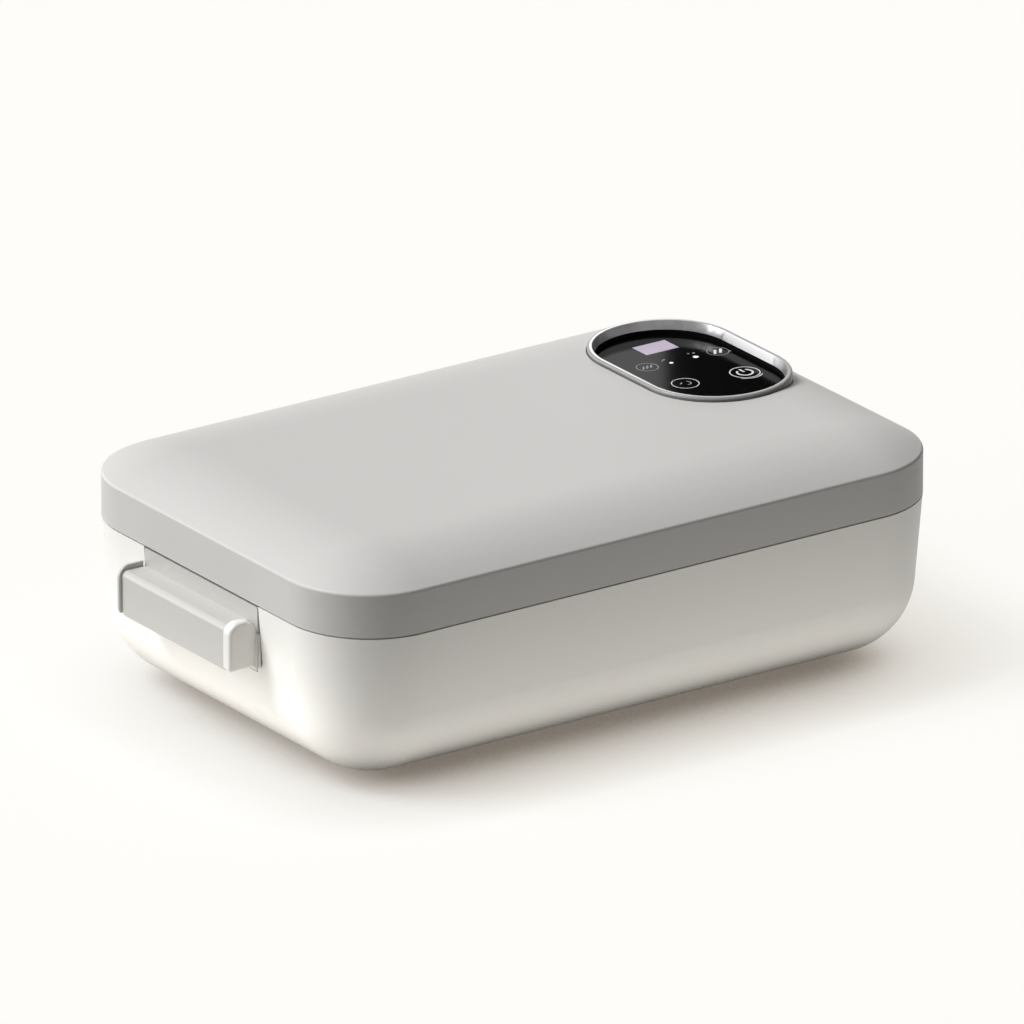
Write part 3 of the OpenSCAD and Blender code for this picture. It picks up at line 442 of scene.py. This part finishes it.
@dataclass
class ControlPanel(Assembly):
    """Bezel, black glass and display, with their printed rings, signs and lamp dots.

    The marks' places and widths are in millimetres, and their spans in degrees. Bars have a
    length and a width.
    """

    title: str = "control panel"
    finishes: dict[str, Finish] = field(default_factory=lambda: {
        "bezel": BEZEL_BRIGHT, "touch_panel": PANEL_GLASS, "display_window": DISPLAY_LILAC,
        "display_module": CASE_BLACK, "control_board": BOARD_GREEN, "control_parts": CASE_BLACK,
        "touch_springs": SPRING_STEEL, "indicator_leds": LED_LENS})
    rim_round_mm: float = 0.75
    rim_round_steps: int = 4
    film: float = 0.04
    lift: float = 0.01
    arc_steps: int = 64
    dot_steps: int = 24
    least_steps: int = 4
    ring_width: float = 0.3
    menu: Spot = Spot(75.6, 32.4, 3.6)
    menu_bars: Point = (2.2, 0.6)
    menu_bars_at: tuple[float, ...] = (-1.5, 0.0, 1.5)
    heat: Spot = Spot(102.9, 31.4, 3.65)
    heat_width: float = 0.2
    heat_flag: tuple[Point, ...] = ((3.3, -1.0), (3.9, -2.1), (2.5, -2.6))
    heat_bars: Point = (3.0, 0.9)
    heat_bars_at: tuple[float, ...] = (-1.1, 1.1)
    timer: Spot = Spot(77.3, 13.3, 4.5)
    clock: Spot = Spot(77.8, 13.3, 1.5)
    clock_span: Point = (-110.0, 60.0)
    clock_width: float = 0.35
    clock_tick: tuple[Point, ...] = ((-1.8, 0.3), (-0.6, 1.1))
    clock_tick_width: float = 0.45
    power: Spot = Spot(99.05, 10.6, 4.95)
    power_width: float = 0.36
    power_outer: Spot = Spot(99.05, 10.6, 5.8)
    power_outer_span: Point = (-138.0, -46.0)
    power_outer_width: float = 0.32
    power_sign: Spot = Spot(99.05, 10.6, 2.6)
    power_sign_span: Point = (125.0, 415.0)
    power_sign_line: tuple[Point, ...] = ((0.0, 0.4), (0.0, 3.2))
    power_sign_width: float = 0.7
    bar_lean: float = 0.35
    lamps: tuple[Spot, ...] = (Spot(84.4, 31.3, 0.7), Spot(94.1, 31.3, 0.95))
    signs: tuple[Spot, ...] = (Spot(82.9, 34.3, 0.35), Spot(83.9, 34.9, 0.45),
                               Spot(93.7, 35.0, 0.4), Spot(95.5, 34.6, 0.45))

    def arc(self, spot: Spot, span: Point = (0.0, 360.0)) -> list[Point]:
        """Points along an arc.

        Args:
            spot: Its centre and radius.
            span: Its first and last angle in degrees.

        Returns:
            The points.
        """
        start, turn = span[0], span[1] - span[0]
        steps = max(self.least_steps, int(self.arc_steps * abs(turn) / 360))
        angles = [math.radians(start + turn * i / steps) for i in range(steps + 1)]
        return [(spot.x + spot.r * math.cos(a), spot.y + spot.r * math.sin(a)) for a in angles]

    def bar(self, spot: Spot, across: float, length: float) -> list[Point]:
        """A short slanted stroke of a sign.

        Args:
            spot: The key that has the sign.
            across: Distance of the stroke from the key's centre.
            length: Length of the stroke.

        Returns:
            Its points.
        """
        x, lean = spot.x + across, self.bar_lean * length
        return [(x - lean, spot.y - length / 2), (x - lean / 4, spot.y - length / 8),
                (x + lean / 4, spot.y + length / 8), (x + lean, spot.y + length / 2)]

    def beside(self, spot: Spot, points: tuple[Point, ...]) -> list[Point]:
        """Moves points that are given from a key's centre to their place on the panel."""
        return [(spot.x + x, spot.y + y) for x, y in points]

    def stroke(self, mesh: bmesh.types.BMesh, points: list[Point], width: float,
               top: float) -> None:
        """Adds a ribbon of ink of even width along a line of points.

        Args:
            mesh: The mesh that takes the ribbon.
            points: The line, in millimetres.
            width: Width of the ribbon.
            top: Height of the glass, in metres.
        """
        closed = math.dist(points[0], points[-1]) < SAME_POINT
        count = len(points) - 1 if closed else len(points)
        low, high = top + self.lift * MM, top + (self.lift + self.film) * MM
        rows = []
        for i in range(count):
            before = points[i - 1] if closed or i > 0 else points[i]
            after = points[(i + 1) % count] if closed or i < count - 1 else points[i]
            along = Vector((after[0] - before[0], after[1] - before[1])).normalized()
            side = Vector((-along.y, along.x)) * width / 2
            ends = [(points[i][0] + s * side.x, points[i][1] + s * side.y) for s in (1, -1)]
            rows.append([mesh.verts.new((ex * MM, ey * MM, z))
                         for z in (low, high) for ex, ey in ends])
        for i in range(count if closed else count - 1):
            a, b = rows[i], rows[(i + 1) % count]
            for p, q in ((2, 3), (3, 1), (1, 0), (0, 2)):
                mesh.faces.new((a[p], a[q], b[q], b[p]))
        if not closed:
            mesh.faces.new((rows[0][0], rows[0][1], rows[0][3], rows[0][2]))
            mesh.faces.new((rows[-1][2], rows[-1][3], rows[-1][1], rows[-1][0]))

    def dot(self, mesh: bmesh.types.BMesh, spot: Spot, top: float) -> None:
        """Adds a filled dot of ink.

        Args:
            mesh: The mesh that takes the dot.
            spot: Its place and radius.
            top: Height of the glass, in metres.
        """
        depth = self.film * MM
        place = Matrix.Translation((spot.x * MM, spot.y * MM, top + self.lift * MM + depth / 2))
        bmesh.ops.create_cone(mesh, cap_ends=True, segments=self.dot_steps, radius1=spot.r * MM,
                              radius2=spot.r * MM, depth=depth, matrix=place)

    def faces_out(self, middle: Vector, place: Vector, normal: Vector) -> bool:
        """Whether a surface of the bezel belongs to its upright outer wall.

        Args:
            middle: Middle of the bezel.
            place: A point of the surface.
            normal: Its normal.

        Returns:
            True for the outer wall.
        """
        away = Vector((place.x - middle.x, place.y - middle.y, 0))
        return abs(normal.z) < UPRIGHT and normal.dot(away) > 0

    def wall(self) -> None:
        """Gives the bezel a grey outer wall, darkened as painted shade, and an inner step painted
        black as a dark reflection, beside the bright rim.
        """
        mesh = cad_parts["bezel"].data
        low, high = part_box("bezel")
        middle = (low + high) / 2
        grey, black = len(mesh.materials), len(mesh.materials) + 1
        mesh.materials.append(self.material(BEZEL_GREY_PAINTED_SHADE))
        mesh.materials.append(self.material(BEZEL_STEP_PAINTED_DARK))
        for face in mesh.polygons:
            if abs(face.normal.z) < UPRIGHT:
                outer = self.faces_out(middle, face.center, face.normal)
                # Outer faces take the darkened grey, a painted shade; inner upright faces take
                # black, a painted dark reflection.
                face.material_index = grey if outer else black

    def round_rim(self) -> None:
        """Rounds the rim's outer edge, which leaves a narrow flat beside the inner slope, and
        colours the rounding paler as a painted highlight.
        """
        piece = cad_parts["bezel"]
        low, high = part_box("bezel")
        middle = (low + high) / 2

        def share(place: Vector, normals: list[Vector]) -> float:
            """One on the outer wall's top edge, else nought."""
            outer = any(self.faces_out(middle, place, normal) for normal in normals)
            return 1.0 if outer and place.z > high.z - TOP_BAND else 0.0

        self.weigh(piece, share)
        # The rounding's paler grey is a painted highlight of the lit edge.
        piece.data.materials.append(self.material(BEZEL_EDGE_PAINTED_HIGHLIGHT))
        rounding = self.soften(piece, self.rim_round_mm, self.rim_round_steps)
        rounding.material = len(piece.data.materials) - 1

    def marks(self) -> dict[str, tuple[Finish, list[Stroke]]]:
        """What is printed on the four keys: rings, slanted bars, a clock's hand, the power sign.

        Returns:
            Each piece's finish, and its strokes with their widths.
        """
        menu_bar, menu_bar_width = self.menu_bars
        heat_bar, heat_bar_width = self.heat_bars
        return {
            "ring_menu_key": (INK_THIN, [(self.arc(self.menu), self.ring_width)]),
            "sign_menu_key": (INK_THIN, [
                (self.bar(self.menu, across, menu_bar), menu_bar_width)
                for across in self.menu_bars_at]),
            "ring_heat_key": (INK_THIN, [
                (self.arc(self.heat), self.heat_width),
                (self.beside(self.heat, self.heat_flag), self.heat_width)]),
            "sign_heat_key": (INK_WHITE, [
                (self.bar(self.heat, across, heat_bar), heat_bar_width)
                for across in self.heat_bars_at]),
            "ring_timer_key": (INK_WHITE, [(self.arc(self.timer), self.ring_width)]),
            "sign_timer_key": (INK_THIN, [
                (self.arc(self.clock, self.clock_span), self.clock_width),
                (self.beside(self.timer, self.clock_tick), self.clock_tick_width)]),
            "ring_power_key": (INK_WHITE, [
                (self.arc(self.power), self.power_width),
                (self.arc(self.power_outer, self.power_outer_span), self.power_outer_width)]),
            "sign_power_key": (INK_WHITE, [
                (self.arc(self.power_sign, self.power_sign_span), self.power_sign_width),
                (self.beside(self.power, self.power_sign_line), self.power_sign_width)]),
        }

    def build(self) -> None:
        """Dresses the panel and draws each key's mark as its own piece on the lid."""
        super().build()
        self.wall()
        self.round_rim()
        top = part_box("touch_panel")[1].z
        for name, (finish, strokes) in self.marks().items():
            mesh = bmesh.new()
            for points, width in strokes:
                self.stroke(mesh, points, width, top)
            self.place(name, mesh, finish)
        for name, spots, finish in (("lamp_dots", self.lamps, LAMP_LIT),
                                    ("lamp_signs", self.signs, INK_THIN)):
            mesh = bmesh.new()
            for spot in spots:
                self.dot(mesh, spot, top)
            self.place(name, mesh, finish)

    def place(self, name: str, mesh: bmesh.types.BMesh, finish: Finish) -> None:
        """Turns a mesh into a piece that rides on the lid.

        Args:
            name: Name of the piece.
            mesh: Its mesh, which is freed.
            finish: Its finish.
        """
        bmesh.ops.recalc_face_normals(mesh, faces=mesh.faces)
        data = bpy.data.meshes.new(name)
        mesh.to_mesh(data)
        mesh.free()
        data.materials.append(self.material(finish))
        piece = bpy.data.objects.new(name, data)
        bpy.context.scene.collection.objects.link(piece)
        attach(piece, "lid")
        log.info("placed %s", name)


@dataclass(frozen=True)
class Card:
    """A reflector card on the floor: its centre and size along X and Y, and its power."""

    x: float
    y: float
    width: float
    depth: float
    power: float


@dataclass
class Studio:
    """Pale floor, soft lamps, reflector cards, black flags and the photograph's camera."""

    background: str = "#FEFDF9"
    floor_size: float = 8.0
    floor_shade: Triple = (0.135, 0.147, 0.155)
    floor_light: float = 1.00
    floor_bounce: Triple = (0.24, 0.23, 0.215)
    # Painted shadow on the floor: ambient occlusion darkens the floor's shown colour near the box
    # in these steps, leaned towards the front.
    painted_shadow_samples: int = 12
    painted_shadow_steps: tuple[Point, ...] = ((0.01, 0.0), (0.06, 0.13), (0.13, 0.28), (0.24, 0.46),
                                        (0.41, 0.71), (0.6, 0.85), (0.98, 1.0))
    painted_shadow_warmth: Triple = (1.0, 1.1, 1.2)
    painted_shadow_reach: float = 0.04
    painted_shadow_lean: Triple = (0.0, 0.6, 0.8)
    sky: float = 0.155
    key_strength: float = 2.94
    key_from: Triple = (-0.47, 0.36, 0.805)
    key_angle: float = 24.0
    fill_strength: float = 1.02
    fill_from: Triple = (-0.91, 0.30, 0.28)
    fill_angle: float = 44.0
    front_card: Card = Card(0.014, -0.1145, 0.28, 0.07, 0.060)
    end_card: Card = Card(-0.139, -0.004, 0.034, 0.155, 0.029)
    card_height: float = 0.002
    card_colour: Triple = (1.0, 0.97, 0.92)
    mirror: Triple = (0.5306, 0.7676, 0.3595)
    glass_middle: Triple = (0.0849, 0.0218, 0.0754)
    sheet_away: float = 0.26
    flag_from_to: Point = (-0.006, 0.060)
    glow_from_to: Point = (-0.060, -0.006)
    sheet_height: float = 0.06
    glow_strength: float = 1.85
    ring_radius: float = 0.7
    ring_low_high: Point = (0.02, 0.28)
    ring_steps: int = 24
    front_flag_angles: Point = (-192.0, 20.0)
    back_sheet_angles: Point = (95.0, 160.0)
    back_sheet_strength: float = 4.0
    camera_back: Triple = (-0.5306, -0.7676, 0.3595)
    camera_right: Triple = (0.8226, -0.5686, 0.0)
    camera_up: Triple = (0.2044, 0.2957, 0.9331)
    camera_distance: float = 6.886
    camera_reach: float = 100.0
    camera_aim: Triple = (0.0, 0.0, 0.040)
    camera_shift: Point = (-0.00016, 0.0110)
    focal_px: float = 21341.0
    image_px: float = 1024.0
    sensor: float = 36.0

    def floor(self) -> None:
        """Lays the floor: it shows the background's colour, with a warm soft shadow painted on it
        from ambient occlusion, besides the lamps' own shadow.
        """
        piece = self.plane("floor", (self.floor_size, self.floor_size), (0, 0, 0), (0, 0, 1))
        material = bpy.data.materials.new("paper_backdrop_white")
        material.use_nodes = True
        tree = material.node_tree
        tree.nodes.clear()
        seen = self.seen(tree)
        shown = linear(self.background)
        shade = tuple(c / self.floor_light for c in self.floor_shade) + (1.0,)
        steady = [whole - part for whole, part in zip(shown, self.floor_shade)]
        colour = add_node(tree, "ShaderNodeMix", {"data_type": "RGBA"},
                          {6: self.floor_bounce + (1.0,), 7: shade}, {0: seen})
        lit = add_node(tree, "ShaderNodeBsdfDiffuse", links={"Color": colour.outputs[2]})
        lean = add_node(tree, "ShaderNodeCombineXYZ", values=dict(enumerate(self.painted_shadow_lean)))
        # Painted shadow: the occlusion sets the floor's shown colour through the ramp.
        open_sky = add_node(tree, "ShaderNodeAmbientOcclusion", {"samples": self.painted_shadow_samples},
                            {"Distance": self.painted_shadow_reach}, {"Normal": lean.outputs[0]})
        painted_shadow_ramp = add_node(tree, "ShaderNodeValToRGB", links={0: open_sky.outputs["AO"]})
        stops = painted_shadow_ramp.color_ramp.elements
        for place, share in self.painted_shadow_steps[1:-1]:
            stops.new(place)
        for stop, (place, share) in zip(stops, self.painted_shadow_steps):
            stop.position = place
            warm = (share ** power for power in self.painted_shadow_warmth)
            stop.color = tuple(full * part for full, part in zip(steady, warm)) + (1.0,)
        own = add_node(tree, "ShaderNodeEmission",
                       links={"Color": painted_shadow_ramp.outputs[0], "Strength": seen})
        both = add_node(tree, "ShaderNodeAddShader", links={0: lit.outputs[0], 1: own.outputs[0]})
        add_node(tree, "ShaderNodeOutputMaterial", links={"Surface": both.outputs[0]})
        piece.data.materials.append(material)

    def plane(self, name: str, size: Point, place: Triple, facing: Triple) -> bpy.types.Object:
        """Stands a flat sheet in the studio.

        Args:
            name: Name of the sheet.
            size: Width and height.
            place: Its centre.
            facing: Direction of its front.

        Returns:
            The sheet.
        """
        half_w, half_h = size[0] / 2, size[1] / 2
        data = bpy.data.meshes.new(name)
        corners = [(-half_w, -half_h, 0), (half_w, -half_h, 0), (half_w, half_h, 0),
                   (-half_w, half_h, 0)]
        data.from_pydata(corners, [], [(0, 1, 2, 3)])
        piece = bpy.data.objects.new(name, data)
        bpy.context.scene.collection.objects.link(piece)
        turn = Vector(facing).to_track_quat("Z", "Y").to_matrix().to_4x4()
        piece.matrix_world = Matrix.Translation(place) @ turn
        return piece

    def gloss_only(self, piece: bpy.types.Object, strength: float) -> None:
        """Makes a sheet that only gloss can see.

        Args:
            piece: The sheet.
            strength: Its own light, nought for black felt.
        """
        for kind in ("camera", "diffuse", "transmission", "shadow", "volume_scatter"):
            setattr(piece, "visible_" + kind, False)
        material = bpy.data.materials.new(piece.name + "_cloth")
        material.use_nodes = True
        tree = material.node_tree
        tree.nodes.clear()
        cloth = add_node(tree, "ShaderNodeEmission",
                         values={"Color": (1, 1, 1, 1), "Strength": strength})
        add_node(tree, "ShaderNodeOutputMaterial", links={"Surface": cloth.outputs[0]})
        piece.data.materials.append(material)

    def sheets(self) -> None:
        """Stands a black flag and a bright sheet side by side where the glass mirrors them."""
        mirror, right = Vector(self.mirror), Vector(self.camera_right)
        middle = Vector(self.glass_middle) + mirror * self.sheet_away
        pair = (("flag_glass", self.flag_from_to, 0.0),
                ("sheet_glass", self.glow_from_to, self.glow_strength))
        for name, (start, end), strength in pair:
            place = middle + right * (start + end) / 2
            piece = self.plane(name, (end - start, self.sheet_height), tuple(place), tuple(-mirror))
            self.gloss_only(piece, strength)

    def ring_sheet(self, name: str, span: Point, strength: float) -> None:
        """Stands a low curved sheet round the box, for the bezel's inner slope to mirror.

        Args:
            name: Name of the sheet.
            span: Its first and last angle round the box, in degrees.
            strength: Its own light, nought for black felt.
        """
        steps, r = self.ring_steps, self.ring_radius
        start, end = (math.radians(a) for a in span)
        angles = [start + (end - start) * i / steps for i in range(steps + 1)]
        points = [(r * math.cos(a), r * math.sin(a), z) for a in angles for z in self.ring_low_high]
        faces = [(2 * i, 2 * i + 2, 2 * i + 3, 2 * i + 1) for i in range(steps)]
        data = bpy.data.meshes.new(name)
        data.from_pydata(points, [], faces)
        piece = bpy.data.objects.new(name, data)
        bpy.context.scene.collection.objects.link(piece)
        self.gloss_only(piece, strength)

    def card(self, name: str, card: Card) -> None:
        """Lays a reflector card on the floor beside the box, out of the camera's sight.

        Args:
            name: Name of the card.
            card: Its place, size and power.
        """
        data = bpy.data.lights.new(name, "AREA")
        data.shape = "RECTANGLE"
        data.size, data.size_y, data.energy = card.width, card.depth, card.power
        data.color = self.card_colour
        piece = bpy.data.objects.new(name, data)
        bpy.context.scene.collection.objects.link(piece)
        piece.location = (card.x, card.y, self.card_height)
        piece.rotation_euler = (math.pi, 0, 0)
        piece.visible_camera = False
        piece.visible_glossy = False

    def seen(self, tree: bpy.types.NodeTree) -> bpy.types.NodeSocket:
        """One for camera, glossy and transmission rays, else nought.

        Args:
            tree: The node tree that asks.

        Returns:
            The socket with that value.
        """
        path = add_node(tree, "ShaderNodeLightPath")
        first = add_node(tree, "ShaderNodeMath", {"operation": "MAXIMUM"},
                         links={0: path.outputs["Is Camera Ray"], 1: path.outputs["Is Glossy Ray"]})
        both = add_node(tree, "ShaderNodeMath", {"operation": "MAXIMUM"},
                        links={0: first.outputs[0], 1: path.outputs["Is Transmission Ray"]})
        return both.outputs[0]

    def world(self) -> None:
        """Sets the even sky, white where it is seen."""
        world = bpy.data.worlds.new("studio")
        bpy.context.scene.world = world
        world.use_nodes = True
        tree = world.node_tree
        tree.nodes.clear()
        seen = self.seen(tree)
        dim = add_node(tree, "ShaderNodeBackground",
                       values={"Color": (1, 1, 1, 1), "Strength": self.sky})
        white = add_node(tree, "ShaderNodeBackground",
                         values={"Color": linear(self.background), "Strength": 1.0})
        both = add_node(tree, "ShaderNodeMixShader",
                        links={0: seen, 1: dim.outputs[0], 2: white.outputs[0]})
        add_node(tree, "ShaderNodeOutputWorld", links={"Surface": both.outputs[0]})

    def lamp(self, name: str, strength: float, direction: Triple, angle: float,
             mirrored: bool = True) -> None:
        """Adds a broad distant lamp.

        Args:
            name: Name of the lamp.
            strength: Its strength.
            direction: Where the light comes from.
            angle: Its apparent width in degrees.
            mirrored: Whether gloss shows it.
        """
        data = bpy.data.lights.new(name, "SUN")
        data.energy = strength
        data.angle = math.radians(angle)
        piece = bpy.data.objects.new(name, data)
        bpy.context.scene.collection.objects.link(piece)
        piece.visible_glossy = mirrored
        piece.rotation_mode = "QUATERNION"
        piece.rotation_quaternion = Vector(direction).to_track_quat("Z", "Y")

    def camera(self) -> None:
        """Sets the camera at the photograph's angle and distance."""
        back, right, up = (Vector(v) for v in (self.camera_back, self.camera_right, self.camera_up))
        place = Vector(self.camera_aim) + right * self.camera_shift[0] + up * self.camera_shift[1]
        place += back * self.camera_distance
        data = bpy.data.cameras.new("camera")
        data.sensor_width = self.sensor
        data.lens = self.focal_px / self.image_px * self.sensor
        data.clip_end = self.camera_reach
        piece = bpy.data.objects.new("camera", data)
        bpy.context.scene.collection.objects.link(piece)
        axes = Matrix((right, up, back)).transposed().to_4x4()
        piece.matrix_world = Matrix.Translation(place) @ axes
        bpy.context.scene.camera = piece

    def build(self) -> None:
        """Builds the floor, world, lamps and camera."""
        self.camera()
        self.floor()
        self.world()
        self.lamp("key", self.key_strength, self.key_from, self.key_angle)
        self.lamp("fill", self.fill_strength, self.fill_from, self.fill_angle, mirrored=False)
        self.card("card_front", self.front_card)
        self.card("card_end", self.end_card)
        self.sheets()
        self.ring_sheet("flag_front", self.front_flag_angles, 0.0)
        self.ring_sheet("sheet_back", self.back_sheet_angles, self.back_sheet_strength)
        bpy.context.scene.view_settings.view_transform = "Standard"
        log.info("studio built")


def main() -> None:
    """Builds the looks of the lunch box."""
    logging.basicConfig(level=logging.INFO, format="%(name)s: %(message)s")
    Studio().build()
    for assembly in (BaseTub(), HeatingWell(), PowerBay(), Lid(), Latch(), ControlPanel()):
        assembly.build()


if __name__ == "__main__":
    main()
